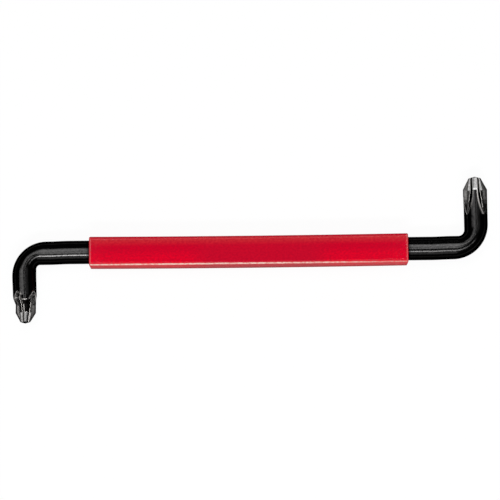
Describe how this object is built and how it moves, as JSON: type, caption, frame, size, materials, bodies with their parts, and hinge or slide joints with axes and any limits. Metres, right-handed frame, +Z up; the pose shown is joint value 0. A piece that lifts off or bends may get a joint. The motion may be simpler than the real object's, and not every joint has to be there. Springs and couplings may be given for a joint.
{
  "type": "offset screwdriver",
  "caption": "Offset screwdriver: round black steel bar bent into a flat Z, with a ground cross tip on the end of each leg and a square red plastic grip sleeve.",
  "frame": {"origin": "under the middle of the tool, on the surface that it lies on", "axes": "+X along the bar from the small tip's end to the large tip's end, +Y the way the large tip points, +Z up, square to the plane of the bends"},
  "size_m": [0.2032, 0.061, 0.0125],
  "materials": {
    "black_steel": "satin black oxide, bare on the worn faces of the tips",
    "red_plastic": "glossy, slightly wavy"
  },
  "bodies": {
    "root": {"driver_bar": "black_steel", "grip_sleeve": "red_plastic"}
  },
  "joints": []
}
